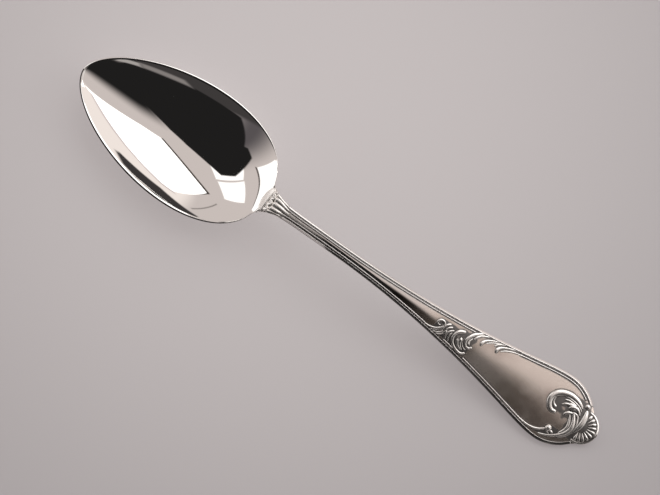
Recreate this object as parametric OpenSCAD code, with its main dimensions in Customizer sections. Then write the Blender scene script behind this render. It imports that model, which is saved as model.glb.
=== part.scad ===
// Tablespoon with a threaded border and scroll ornaments, as a silversmith builds one up:
// a raised bowl lapped on a forged handle, drawn thread wires and cast ornaments on top.
// Millimetres. +X runs from the bowl's tip to the handle's end, +Z is up, the spoon rests on z = 0.

/* [Bowl] */
// Length of the bowl from its tip to the heel
bowl_l = 74.6; // [64:0.2:86]
// Width of the bowl across the rim
bowl_w = 41.6; // [34:0.2:48]
// Depth of the hollow below the rim
bowl_depth = 8.8; // [7:0.1:11]
// Wall of the bowl at the rim, seen from above
rim_wall = 1; // [0.8:0.1:1.5]
// Height of the rim's edge
rim_lip = 0.6; // [0.4:0.1:0.9]
// Wall at the bottom of the bowl and along the neck
floor_wall = 1.6; // [1.2:0.1:2.2]
// Where the bowl is widest, as a share of its length from the tip
widest_share = 0.6; // [0.55:0.01:0.65]
// Where the hollow is deepest, as a share of its length from the tip
deepest_share = 0.56; // [0.5:0.01:0.62]
// Rise of the rim from the tip to the heel
heel_rise = 2.6; // [1:0.1:5]
// Slope of the rim where it runs into the handle
heel_slope = 0.16; // [0.05:0.01:0.3]

/* [Handle] */
// Length of the handle from the heel to its end
handle_l = 131.4; // [115:0.2:150]
// Width of the stem
stem_w = 4.5; // [4:0.1:6]
// Thickness of the stem
stem_t = 3.6; // [3:0.1:5]
// Width of the blade at its widest place
blade_w = 24; // [20:0.2:28]
// Thickness of the blade
blade_t = 2.4; // [1.8:0.1:3.2]
// Distance from the handle's end to the blade's widest place
widest_back = 16.9; // [15.5:0.1:20]
// Length over which the stem widens to the blade
flare_l = 86.8; // [75:0.2:95]
// Length of the blade's round end beyond its widest place
end_round = 13.3; // [12:0.1:14.5]
// Height of the arch's top above the table
arch_z = 17; // [15:0.2:22]
// Distance from the heel to the arch's top
arch_at = 38; // [30:0.5:46]
// Distance from the handle's end to the place it rests on
rest_back = 9.4; // [8:0.1:12]
// Rise of the handle's end beyond that place
tip_rise = 0.3; // [0:0.1:0.8]
// Crown of the field across the blade
blade_crown = 0.5; // [0.2:0.1:0.8]
// Crown of the field across the stem
stem_crown = 0.25; // [0.1:0.05:0.4]
// Depth of the flat ground on the back where the handle rests
land_dip = 0.1; // [0.05:0.05:0.2]

/* [Lap joint] */
// Length of the bowl's neck that lies on the handle
neck_l = 4; // [3:0.1:6]
// How much wider than the stem the neck is at the heel, each side
neck_flare = 2.35; // [1.5:0.05:3]
// Length of the drop that carries the bowl from below
drop_l = 13; // [9:0.2:17]
// Thickness of the drop at its tip
drop_t = 0.5; // [0.3:0.05:0.8]
// Solder film between the pieces
solder_gap = 0.05; // [0.03:0.01:0.1]

/* [Threads] */
// Width of the outer thread at the blade's widest place
outer_w = 1.35; // [1:0.05:1.6]
// Width of the inner thread at the blade's widest place
inner_w = 0.7; // [0.5:0.05:0.9]
// Groove beside a thread at the blade's widest place
groove_w = 0.2; // [0.1:0.02:0.3]
// Height of a thread as a share of its width
thread_share = 0.5; // [0.35:0.05:0.65]
// Distance from the heel to the start of the threads
thread_at = 7.8; // [7.6:0.1:10]

/* [Ornaments] */
// Height of the scrolls and leaves as a share of their width
relief_share = 0.62; // [0.4:0.02:0.75]
// Radius of the shell on the handle's end
shell_r = 5.9; // [5:0.1:6.4]
// Width of the shell's plain rim
shell_rim_w = 1; // [0.7:0.05:1.2]
// Width of the shell's smooth lip
shell_lip_w = 1.1; // [0.8:0.05:1.3]
// Ribs of the shell
rib_n = 10; // [7:1:11]
// Length of a rib
rib_l = 2.2; // [1.5:0.1:2.4]
// Width of a rib at its outer end
rib_w = 0.75; // [0.5:0.05:0.8]
// Radius of the bead beside the shell
bead_r = 0.7; // [0.5:0.05:0.9]

/* [Hidden] */
bright = [0.86, 0.85, 0.82];
satin = [0.7, 0.68, 0.63];
relief = [0.8, 0.78, 0.73];

// Roundness of the bowl's plan and of its hollow along the middle
plan_round = 0.41;
hollow_round = 0.95;
// Fuller section of the hollow towards the rim
hollow_swell = 0.2;
// The oval of the bowl ends a little before the heel
oval_l = bowl_l - 1;
// Length over which the neck's flare fades
neck_fade = 3;
// Ease of the flare where it reaches full width
flare_ease = 0.12;
// Rounding of the back's edges: height and power, on the stem and on the blade
stem_back = [1.3, 2.4];
blade_back = [1, 8];
// Smallest half width at a closed end
end_half = 0.4;
// Sharpness of the joins between outlines
join = 6;
// Steps across a surface, along a surface, round a wire and along a curve
across_n = 10;
oval_n = 34;
arc_n = 5;
curve_n = 3;

heel_x = (bowl_l - handle_l) / 2;
widest_at = handle_l - widest_back;
flare_at = widest_at - flare_l;
rest_at = handle_l - rest_back;
shell_at = handle_l - shell_r;
border_w = outer_w + inner_w + 2.5 * groove_w;

// Sharing and easing
function mix(a, b, t) = a + (b - a) * t;
function clip(t) = min(max(t, 0), 1);
function ease(t) = clip(t) * clip(t) * (3 - 2 * clip(t));
function joined(a, b) = pow(pow(a, join) + pow(b, join), 1 / join);
// Curve between two heights with given slopes over a length
function swept(a, b, ma, mb, l, t) =
    a * (2 * t ^ 3 - 3 * t ^ 2 + 1) + b * (3 * t ^ 2 - 2 * t ^ 3)
    + ma * l * (t ^ 3 - 2 * t ^ 2 + t) + mb * l * (t ^ 3 - t ^ 2);

// Bowl: s runs from the tip
function oval(u, share) =
    let (e = pow(clip(u), ln(0.5) / ln(share)))
    4 * e * (1 - e);
function neck_half(s) = stem_w / 2 + neck_flare * exp(-max(s - bowl_l, -1) / neck_fade);
function neck_on(s) = s < bowl_l - neck_fade ? 0 : neck_half(s);
function rim_half(s) = joined(bowl_w / 2 * pow(oval(s / oval_l, widest_share), plan_round), neck_on(s));
function inner_half(s) =
    let (u = (s - rim_wall) / (oval_l - rim_wall))
    joined(
        (bowl_w / 2 - rim_wall) * pow(oval(u, widest_share), plan_round),
        max(neck_on(s) - rim_lip, 0)
    );
function hollow(s) =
    bowl_depth * pow(oval((s - rim_wall) / (oval_l - rim_wall), deepest_share), hollow_round);
function section(v) = (1 - v * v) * (1 + hollow_swell * v * v);
function rim_line(s) = swept(0, heel_rise, 0, heel_slope, bowl_l, s / bowl_l);
lowest = min([for (s = [0 : bowl_l / 80 : bowl_l]) rim_line(s) - hollow(s) - floor_wall]);
heel_z = heel_rise - lowest;
function rim_z(s) = s < bowl_l ? rim_line(s) - lowest : crest(s - bowl_l);
function bowl_top(s, y) = rim_z(s) - hollow(s) * section(min(abs(y) / inner_half(s), 1));
function bowl_bottom(s, y) =
    rim_z(s) - rim_lip
    - (hollow(s) + floor_wall - rim_lip) * section(min(abs(y) / rim_half(s), 1));

// Handle: h runs from the heel
function crest(h) =
    h < arch_at ? swept(heel_z, arch_z, heel_slope, 0, arch_at, h / arch_at)
    : h < rest_at ? swept(arch_z, blade_t, 0, 0, rest_at - arch_at, (h - arch_at) / (rest_at - arch_at))
    : blade_t + tip_rise * pow((h - rest_at) / rest_back, 2);
function flare(h) = clip((h - flare_at) / flare_l);
function flare_half(h) =
    let (v = flare(h))
    mix(stem_w / 2, blade_w / 2, v * v * (1 + flare_ease * (1 - pow(v, 2 / flare_ease))));
function round_half(h, at, r, l) = r * sqrt(max(1 - pow((h - at) / l, 2), 0));
function half_at(h) =
    h < widest_at ? flare_half(h) + neck_half(h + bowl_l) - stem_w / 2
    : max(
        joined(
            round_half(h, widest_at, blade_w / 2, end_round),
            round_half(h, shell_at, shell_r, shell_r)
        ),
        end_half
    );
function crown(h) = ease((h - neck_l) / stem_w) * mix(stem_crown, blade_crown, flare(h));
function handle_top(h, y) = crest(h) - crown(h) * pow(y / half_at(h), 2);
function handle_low(h) =
    crest(h) - mix(stem_t, blade_t, ease(flare(h))) - land_dip * ease(flare(h));
function handle_back(h, y) =
    let (r = mix(stem_back, blade_back, ease(flare(h))))
    handle_low(h) + r[0] * pow(abs(y) / half_at(h), r[1]);
// What an ornament sits on
function seat(h, y) =
    solder_gap + (h < neck_l ? bowl_top(h + bowl_l, y) : handle_top(h, y));

// Threads and field: they narrow with the root of the width
function taper(h) = sqrt(flare_half(h) / (blade_w / 2));
function field_half(h) = flare_half(h) - border_w * taper(h);
function edge_slope(h) = (half_at(h + 0.05) - half_at(h - 0.05)) / 0.1;
function edge_point(h, side, off) =
    let (m = edge_slope(h), n = sqrt(1 + m * m))
    [h + off * m / n, side * (half_at(h) - off / n)];
function thread_path(from, to, side, inner, n) = [
    for (k = [0 : n])
        let (
            h = mix(from, to, k / n),
            w = (inner ? inner_w : outer_w) * taper(h),
            off = inner ? (outer_w + 1.5 * groove_w + inner_w / 2) * taper(h)
                : (outer_w + groove_w) / 2 * taper(h),
            p = edge_point(h, side, off)
        )
        [p[0], p[1], w]
];

// Ornament points: distance back from the handle's end, share of the field, width
function on_field(p) = [
    for (q = p)
        let (h = handle_l - q[0])
        [h, q[1] * field_half(h), q[2]]
];
function on_heel(p) = [for (q = p) [q[0], q[1] * neck_half(q[0] + bowl_l), q[2]]];
function on_shell(p) = [for (q = p) [shell_at + q[0] * cos(q[1]), q[0] * sin(q[1]), q[2]]];

// Smooth curve through points
function curve_at(p, i, t) =
    let (a = p[max(i - 1, 0)], b = p[i], c = p[i + 1], d = p[min(i + 2, len(p) - 1)])
    0.5 * (2 * b + (c - a) * t + (2 * a - 5 * b + 4 * c - d) * t ^ 2 + (3 * b - a - 3 * c + d) * t ^ 3);
function curve(p, n) =
    concat([for (i = [0 : len(p) - 2], k = [0 : n - 1]) curve_at(p, i, k / n)], [p[len(p) - 1]]);
function heading(p, i) =
    let (
        d = p[min(i + 1, len(p) - 1)] - p[max(i - 1, 0)],
        l = norm([d[0], d[1]])
    )
    [d[0] / l, d[1] / l];

// Half round wire lying on the seat along a path of points with widths
function wire_rings(p, share) = [
    for (i = [0 : len(p) - 1])
        let (t = heading(p, i))
        [
            for (k = [0 : arc_n])
                let (
                    a = 180 * k / arc_n,
                    h = p[i][0] - t[1] * p[i][2] / 2 * cos(a),
                    y = p[i][1] + t[0] * p[i][2] / 2 * cos(a)
                )
                [heel_x + h, y, seat(h, y) + share * p[i][2] * sin(a)]
        ]
];
// Rings of an upper and a lower face, from the far edge to the near edge and back
function ring(far_to_near, near_to_far) = concat(far_to_near, near_to_far);
// Closed body through rings with the same even number of points
module loft(rings) {
    n = len(rings);
    m = len(rings[0]);
    sides = [
        for (i = [0 : n - 2], j = [0 : m - 1])
            let (k = (j + 1) % m, a = i * m, b = (i + 1) * m)
            each [[a + j, b + j, b + k], [a + j, b + k, a + k]]
    ];
    start = [
        for (j = [0 : m / 2 - 2])
            each [[j, j + 1, m - 2 - j], [j, m - 2 - j, m - 1 - j]]
    ];
    finish = [for (f = start) [for (k = [2 : -1 : 0]) f[k] + (n - 1) * m]];
    polyhedron(points = [for (r = rings) each r], faces = concat(sides, start, finish));
}
module wire(path, share) {
    loft(wire_rings(path, share));
}
module strokes(list) {
    for (p = list)
        wire(curve(on_field(p), curve_n), relief_share);
}

// Raised bowl with its neck
module bowl() {
    along = concat(
        [for (i = [0 : oval_n]) oval_l * (1 - cos(180 * max(i, 0.5) / oval_n)) / 2],
        [for (k = [1 : 4]) mix(oval_l, bowl_l + neck_l, k / 4)]
    );
    end = bowl_l + neck_l;
    color(bright)
        loft([
            for (s = along)
                let (t = rim_wall + s * (end - rim_wall) / end)
                ring(
                    [
                        for (j = [0 : across_n * 2])
                            let (y = inner_half(t) * sin(90 - 180 * j / across_n / 2))
                            [heel_x + t - bowl_l, y, bowl_top(t, y)]
                    ],
                    [
                        for (j = [across_n * 2 : -1 : 0])
                            let (y = rim_half(s) * sin(90 - 180 * j / across_n / 2))
                            [heel_x + s - bowl_l, y, bowl_bottom(s, y)]
                    ]
                )
        ]);
}

// Forged handle: drop under the bowl, stem, blade and the lobe behind the shell
function drop_half(h) = h < 0 ? neck_half(bowl_l) * sqrt(max(1 - pow(h / drop_l, 2), 0)) : neck_half(h + bowl_l);
function drop_ring(h) =
    let (
        w = max(drop_half(h), end_half),
        t = mix(drop_t, stem_t - floor_wall - solder_gap, ease((h + drop_l) / (neck_l + drop_l)))
    )
    ring(
        [
            for (j = [0 : across_n])
                let (y = w * (1 - 2 * j / across_n))
                [heel_x + h, y, bowl_bottom(h + bowl_l, y) - solder_gap]
        ],
        [
            for (j = [across_n : -1 : 0])
                let (v = 1 - 2 * j / across_n, y = w * v)
                [heel_x + h, y, bowl_bottom(h + bowl_l, y) - solder_gap - t * (1 - 0.6 * v ^ 4)]
        ]
    );
function handle_ring(h) =
    let (w = half_at(h))
    ring(
        [
            for (j = [0 : across_n])
                let (y = w * sin(90 - 180 * j / across_n))
                [heel_x + h, y, handle_top(h, y)]
        ],
        [
            for (j = [across_n : -1 : 0])
                let (y = w * sin(90 - 180 * j / across_n))
                [heel_x + h, y, handle_back(h, y)]
        ]
    );
module handle() {
    drop = [for (k = [0 : 9]) mix(-drop_l, neck_l, k / 9)];
    stem = [for (k = [0 : 7]) mix(neck_l + solder_gap, flare_at, k / 7)];
    blade = [for (k = [1 : 22]) mix(flare_at, widest_at, k / 22)];
    lobe = [for (k = [1 : 18]) widest_at + widest_back * sin(90 * k / 18)];
    color(satin)
        difference() {
            loft(concat(
                [for (h = drop) drop_ring(h)],
                [for (h = concat(stem, blade, lobe)) handle_ring(h)]
            ));
            translate([heel_x, -blade_w, -blade_w])
                cube([handle_l, 2 * blade_w, blade_w]);
        }
}

// Thread wires along both edges; the inner ones are broken by the ornaments
module near_outer_thread() {
    color(relief)
        wire(thread_path(thread_at, handle_l - 9, -1, false, 40), thread_share);
}
module far_outer_thread() {
    color(relief) {
        wire(thread_path(thread_at, handle_l - 51.6, 1, false, 20), thread_share);
        wire(thread_path(handle_l - 36.4, handle_l - 9.4, 1, false, 16), thread_share);
    }
}
module near_inner_thread() {
    color(relief) {
        wire(thread_path(thread_at, handle_l - 67.4, -1, true, 18), thread_share);
        wire(thread_path(handle_l - 59.6, handle_l - 55.4, -1, true, 2), thread_share);
        wire(thread_path(handle_l - 51, handle_l - 24, -1, true, 12), thread_share);
    }
}
module far_inner_thread() {
    color(relief) {
        wire(thread_path(thread_at, handle_l - 52.8, 1, true, 20), thread_share);
        wire(thread_path(handle_l - 36.2, handle_l - 10.2, 1, true, 16), thread_share);
    }
}

// Leaf over the heel: three lobes towards the stem and a fan of five towards the bowl
heel_lobes = [
    [[7.5, 0, 0.4], [5, 0.03, 1], [2.4, 0.04, 1.1]],
    [[6.6, 0.22, 0.3], [4.6, 0.44, 0.8], [2.4, 0.52, 1]],
    [[6.6, -0.22, 0.3], [4.6, -0.44, 0.8], [2.4, -0.52, 1]],
    [[1.7, 0.06, 1], [0.4, 0.06, 1.2], [-0.6, 0.06, 0.7]],
    [[1.7, 0.34, 0.9], [0.7, 0.4, 1.1], [-0.3, 0.42, 0.6]],
    [[1.7, 0.62, 0.8], [1.2, 0.74, 0.9], [0.5, 0.8, 0.5]],
    [[1.7, -0.22, 0.9], [0.7, -0.28, 1.1], [-0.3, -0.3, 0.6]],
    [[1.7, -0.5, 0.8], [1.2, -0.62, 0.9], [0.5, -0.68, 0.5]]
];
module heel_leaf() {
    color(relief)
        for (p = heel_lobes)
            wire(curve(on_heel(p), curve_n), relief_share);
}

// Spray where the blade begins
module shoulder_volute() {
    color(relief)
        strokes([
            [
                [66.6, -0.9, 0.45], [65.2, -0.88, 0.55], [64.1, -0.7, 0.65], [63.2, -0.4, 0.7],
                [62.1, -0.15, 0.75], [61.9, 0.17, 0.8], [62.8, 0.4, 0.85], [63.8, 0.25, 0.8],
                [63.9, -0.03, 0.65], [63.1, -0.06, 0.5]
            ],
            [[62.9, -0.9, 0.3], [62.1, -0.74, 0.55], [61.4, -0.48, 0.35]],
            [[61.4, -0.92, 0.3], [60.8, -0.75, 0.6], [60.2, -0.5, 0.35]]
        ]);
}
module shoulder_fan() {
    color(relief)
        strokes([
            [[60.9, 0.02, 0.35], [60.7, 0.28, 0.65], [59.9, 0.54, 0.45]],
            [[60, -0.23, 0.35], [59.9, 0.1, 0.7], [59, 0.38, 0.5]],
            [[59, -0.68, 0.4], [59, -0.22, 0.75], [58.5, 0.14, 0.6], [58.1, 0.34, 0.35]]
        ]);
}
module shoulder_c_scroll() {
    color(relief)
        strokes([
            [
                [54.4, 0.65, 0.9], [55.8, 0.52, 1.1], [56.9, 0.27, 1], [57.4, -0.1, 0.95],
                [57.1, -0.48, 0.95], [56.1, -0.76, 0.9], [54.3, -0.88, 0.8], [52.8, -0.9, 0.75],
                [51.7, -0.86, 0.75], [51.1, -0.7, 0.7]
            ],
            [[54.6, 0.03, 0.4], [54.7, -0.25, 0.9], [54.6, -0.5, 0.5]]
        ]);
}
module shoulder_counter_scroll() {
    color(relief)
        strokes([[
            [50.1, -0.03, 0.9], [51, -0.18, 0.8], [52, -0.1, 0.85], [52.6, 0.1, 0.9], [52.8, 0.36, 0.95],
            [52.4, 0.63, 1], [51.7, 0.88, 1], [50.6, 1.1, 0.9], [49.1, 1.26, 0.4]
        ]]);
}
// Curled fronds that make the far edge between the two lengths of thread
module edge_fronds() {
    color(relief)
        strokes([
            [[50.6, 0.52, 0.7], [50, 0.8, 0.85], [48.9, 1.02, 0.8], [47.2, 1.2, 0.4]],
            [[48.3, 0.52, 0.8], [48.2, 0.76, 1.1], [47.5, 0.98, 1], [46.4, 1.14, 0.8], [44.6, 1.24, 0.4]],
            [[46.9, 0.77, 0.5], [46, 1, 0.8], [44.2, 1.17, 0.45]],
            [[43.3, 0.66, 0.8], [43.2, 0.84, 1.2], [42.7, 1, 1], [41.7, 1.13, 0.8], [40.2, 1.23, 0.4]],
            [[41.8, 0.82, 0.5], [40.7, 1.02, 0.85], [38.8, 1.17, 0.45]],
            [[40.5, 0.91, 0.45], [39.1, 1.05, 0.75], [37.2, 1.14, 0.5]]
        ]);
}

// Plume on the blade's end
module plume_stem() {
    color(relief)
        strokes([
            [
                [11.2, -0.76, 0.45], [10.2, -0.6, 0.75], [9.5, -0.4, 0.85], [9.4, -0.19, 0.8],
                [10, -0.05, 0.7], [11, 0.04, 0.4]
            ],
            [[9.9, -0.66, 0.45], [8.7, -0.5, 0.75], [8.2, -0.3, 0.85], [8.4, -0.1, 0.75], [9.2, 0.02, 0.4]]
        ]);
}
module plume_leaves() {
    color(relief)
        strokes([
            [[8.8, 0.29, 0.5], [10.4, 0.37, 0.9], [12.2, 0.3, 0.5]],
            [[8.7, 0.18, 0.5], [9.9, 0.24, 0.9], [11.7, 0.16, 0.9], [12.9, 0.02, 0.5]],
            [[12.2, 0.43, 0.4], [13.8, 0.35, 0.7], [15, 0.25, 0.4]],
            [[9.5, 0.42, 0.4], [10.8, 0.47, 0.6], [12.4, 0.46, 0.4]]
        ]);
}
module plume_scroll() {
    color(relief)
        strokes([[
            [9.4, 0.53, 0.6], [10.9, 0.62, 1], [12.9, 0.67, 1.3], [14.7, 0.66, 1.35], [16.6, 0.59, 1.35],
            [18.4, 0.48, 1.35], [19.5, 0.33, 1.3], [19.8, 0.16, 1.2], [19.3, -0.01, 1.1],
            [18.3, -0.14, 1], [16.8, -0.18, 0.9], [15.7, -0.11, 0.8], [16.1, 0.01, 0.95]
        ]]);
}
// Hook of the near inner thread with its bud
module thread_bud() {
    color(relief)
        strokes([[
            [23.4, -1, 0.6], [20.4, -0.98, 0.7], [18.2, -0.95, 0.75], [16.4, -0.86, 0.75],
            [15.2, -0.77, 0.9], [14, -0.7, 1.5], [13.2, -0.7, 0.8], [12.6, -0.74, 0.3]
        ]]);
}

// Shell on the handle's end
shell_sweep = 78;
rib_out = shell_r - shell_rim_w - 0.25;
module shell_ribs() {
    color(relief)
        for (k = [0 : rib_n - 1]) {
            turn = mix(-shell_sweep, shell_sweep, k / (rib_n - 1));
            wire(
                curve(on_shell([
                    [rib_out - rib_l, turn, rib_w * 0.5],
                    [rib_out - rib_l / 2, turn, rib_w * 0.8],
                    [rib_out, turn, rib_w]
                ]), curve_n),
                relief_share
            );
        }
}
module shell_lip() {
    lip_at = rib_out - rib_l - shell_lip_w / 2 - 0.15;
    color(relief)
        wire(
            on_shell([
                for (k = [0 : 12])
                    let (a = mix(-shell_sweep, shell_sweep, k / 12))
                    [lip_at, a, shell_lip_w * mix(0.4, 1, cos(a))]
            ]),
            relief_share
        );
}
module shell_rim() {
    color(relief)
        wire(
            on_shell([
                for (k = [0 : 24])
                    let (a = mix(-shell_sweep, shell_sweep, k / 24))
                    [shell_r - shell_rim_w / 2 - 0.1, a, shell_rim_w]
            ]),
            thread_share
        );
}
module shell_bead() {
    at = edge_point(handle_l - 7.8, 1, bead_r + groove_w);
    color(relief)
        translate([heel_x + at[0], at[1], seat(at[0], at[1] - bead_r)])
            rotate_extrude($fn = 32)
                intersection() {
                    circle(bead_r, $fn = 32);
                    square(bead_r);
                }
}

bowl();
handle();
near_outer_thread();
far_outer_thread();
near_inner_thread();
far_inner_thread();
heel_leaf();
shoulder_volute();
shoulder_fan();
shoulder_c_scroll();
shoulder_counter_scroll();
edge_fronds();
plume_stem();
plume_leaves();
plume_scroll();
thread_bud();
shell_ribs();
shell_lip();
shell_rim();
shell_bead();
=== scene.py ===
"""Tablespoon: raised silver bowl, forged handle, drawn thread wires and cast ornaments."""

import math

import bpy
import numpy as np
from mathutils import Matrix, Vector


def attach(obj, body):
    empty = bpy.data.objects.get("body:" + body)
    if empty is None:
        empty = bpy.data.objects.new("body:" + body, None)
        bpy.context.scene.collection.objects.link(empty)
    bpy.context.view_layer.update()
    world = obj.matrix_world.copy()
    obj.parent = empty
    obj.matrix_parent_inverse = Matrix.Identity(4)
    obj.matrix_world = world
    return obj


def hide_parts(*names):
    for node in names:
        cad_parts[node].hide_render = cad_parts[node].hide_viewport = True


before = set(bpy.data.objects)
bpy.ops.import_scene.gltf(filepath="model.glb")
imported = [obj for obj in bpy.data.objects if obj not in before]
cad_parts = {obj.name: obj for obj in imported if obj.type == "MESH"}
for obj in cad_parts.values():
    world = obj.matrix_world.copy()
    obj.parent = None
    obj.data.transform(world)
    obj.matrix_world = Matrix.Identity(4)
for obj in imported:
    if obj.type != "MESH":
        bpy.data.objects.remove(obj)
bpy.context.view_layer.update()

# Sizes in millimetres, as in the part's source
MM = 0.001
BOWL_L, BOWL_W, BOWL_DEPTH = 74.6, 41.6, 8.8
RIM_WALL, RIM_LIP, FLOOR_WALL = 1.0, 0.6, 1.6
WIDEST_SHARE, DEEPEST_SHARE = 0.6, 0.56
PLAN_ROUND, HOLLOW_ROUND, HOLLOW_SWELL = 0.41, 0.82, 0.12
HEEL_RISE, HEEL_SLOPE = 2.6, 0.16
OVAL_BACK, BOWL_STATIONS = 1.0, 81
OVAL_L = BOWL_L - OVAL_BACK
HANDLE_L, STEM_W, STEM_T = 131.4, 4.5, 3.6
BLADE_W, BLADE_T = 24.0, 2.4
WIDEST_BACK, FLARE_L, END_ROUND, FLARE_EASE = 16.9, 86.8, 13.3, 0.12
ARCH_Z, ARCH_AT = 17.0, 38.0
REST_BACK, TIP_RISE = 9.4, 0.3
BLADE_CROWN, STEM_CROWN, BLADE_LEAN, STEM_LEAN = 0.9, 0.9, 0.1, 0.067
NECK_L, NECK_FLARE, NECK_FADE = 4.0, 2.35, 3.0
DROP_L, DROP_T, GAP = 13.0, 0.5, 0.02
OUTER_W, INNER_W, GROOVE_W, TAPER_POWER = 1.15, 0.55, 0.3, 0.12
THREAD_AT, SHELL_R, RIB_N = 6.6, 5.9, 10
BEAD_R, BEAD_AT, BEAD_SINK = 1.1, (123.7, 6.4), 0.25
# How far the back rises to its edges, and with what power
STEM_BACK, BLADE_BACK = np.array([1.3, 2.4]), np.array([1.0, 8.0])
END_HALF, EDGE_STEP = 0.05, 0.05

HEEL_X = (BOWL_L - HANDLE_L) / 2
WIDEST_AT = HANDLE_L - WIDEST_BACK
FLARE_AT = WIDEST_AT - FLARE_L
REST_AT = HANDLE_L - REST_BACK
SHELL_AT = HANDLE_L - SHELL_R


# Shape rules of the bowl and the handle

def mix(a, b, t):
    return a + (b - a) * t


def ease(t):
    t = np.clip(t, 0, 1)
    return t * t * (3 - 2 * t)


def ramp(value, start, end):
    """Nothing at start, all at end, and smooth between them."""
    return ease((value - start) / (end - start))


def joined(a, b, sharp=6):
    return (a ** sharp + b ** sharp) ** (1 / sharp)


def swept(a, b, slope_a, slope_b, length, t):
    return (
        a * (2 * t ** 3 - 3 * t ** 2 + 1) + b * (3 * t ** 2 - 2 * t ** 3)
        + slope_a * length * (t ** 3 - 2 * t ** 2 + t) + slope_b * length * (t ** 3 - t ** 2)
    )


def oval(u, share):
    e = np.clip(u, 0, 1) ** (math.log(0.5) / math.log(share))
    return 4 * e * (1 - e)


def neck_half(s):
    return STEM_W / 2 + NECK_FLARE * np.exp(-np.maximum(s - BOWL_L, -OVAL_BACK) / NECK_FADE)


def neck_on(s):
    return np.where(s < BOWL_L - NECK_FADE, 0, neck_half(s))


def rim_half(s):
    return joined(BOWL_W / 2 * oval(s / OVAL_L, WIDEST_SHARE) ** PLAN_ROUND, neck_on(s))


def hollow_u(s):
    return (s - RIM_WALL) / (OVAL_L - RIM_WALL)


def inner_half(s):
    plan = (BOWL_W / 2 - RIM_WALL) * oval(hollow_u(s), WIDEST_SHARE) ** PLAN_ROUND
    return joined(plan, np.maximum(neck_on(s) - RIM_LIP, 0))


def hollow(s):
    return BOWL_DEPTH * oval(hollow_u(s), DEEPEST_SHARE) ** HOLLOW_ROUND


def hollow_section(v):
    return (1 - v * v) * (1 + HOLLOW_SWELL * v * v)


def rim_line(s):
    return swept(0, HEEL_RISE, 0, HEEL_SLOPE, BOWL_L, s / BOWL_L)


_along = np.linspace(0, BOWL_L, BOWL_STATIONS)
LOWEST = float(np.min(rim_line(_along) - hollow(_along) - FLOOR_WALL))
HEEL_Z = HEEL_RISE - LOWEST


def rim_z(s):
    return np.where(s < BOWL_L, rim_line(np.minimum(s, BOWL_L)) - LOWEST, crest(s - BOWL_L))


def bowl_top(s, y):
    return rim_z(s) - hollow(s) * hollow_section(np.minimum(np.abs(y) / inner_half(s), 1))


def bowl_bottom(s, y):
    deep = hollow(s) + FLOOR_WALL - RIM_LIP
    return rim_z(s) - RIM_LIP - deep * hollow_section(np.minimum(np.abs(y) / rim_half(s), 1))


def crest(h):
    arch = swept(HEEL_Z, ARCH_Z, HEEL_SLOPE, 0, ARCH_AT, h / ARCH_AT)
    fall_l = REST_AT - ARCH_AT
    fall = swept(ARCH_Z, BLADE_T, 0, 0, fall_l, (h - ARCH_AT) / fall_l)
    tip = BLADE_T + TIP_RISE * ((h - REST_AT) / REST_BACK) ** 2
    return np.where(h < ARCH_AT, arch, np.where(h < REST_AT, fall, tip))


def flare(h):
    return np.clip((h - FLARE_AT) / FLARE_L, 0, 1)


def flare_half(h):
    v = flare(h)
    return mix(STEM_W / 2, BLADE_W / 2, v * v * (1 + FLARE_EASE * (1 - v ** (2 / FLARE_EASE))))


def round_half(h, at, r, length):
    return r * np.sqrt(np.maximum(1 - ((h - at) / length) ** 2, 0))


def half_at(h):
    body = flare_half(h) + neck_half(h + BOWL_L) - STEM_W / 2
    end = joined(
        round_half(h, WIDEST_AT, BLADE_W / 2, END_ROUND), round_half(h, SHELL_AT, SHELL_R, SHELL_R)
    )
    return np.where(h < WIDEST_AT, body, np.maximum(end, END_HALF))


def crown(h):
    return ease((h - NECK_L) / STEM_W) * mix(STEM_CROWN, BLADE_CROWN, flare(h))


def handle_top(h, y):
    return crest(h) - crown(h) * (y / half_at(h) - mix(STEM_LEAN, BLADE_LEAN, flare(h))) ** 2


def handle_back(h, y):
    share = float(ease(flare(h)))
    rise, power = mix(STEM_BACK, BLADE_BACK, share)
    low = np.maximum(crest(h) - mix(STEM_T, BLADE_T, share), 0)
    return low + rise * (np.abs(y) / half_at(h)) ** power


def seat(h, y):
    return np.where(h < NECK_L, bowl_top(h + BOWL_L, y), handle_top(h, y))


def taper(h):
    return (flare_half(h) / (BLADE_W / 2)) ** TAPER_POWER


def edge_point(h, side, off):
    slope = (half_at(h + EDGE_STEP) - half_at(h - EDGE_STEP)) / (2 * EDGE_STEP)
    n = np.sqrt(1 + slope * slope)
    return h + off * slope / n, side * (half_at(h) - off / n)


# Node trees

LEAST_DOME = 0.03


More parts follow.
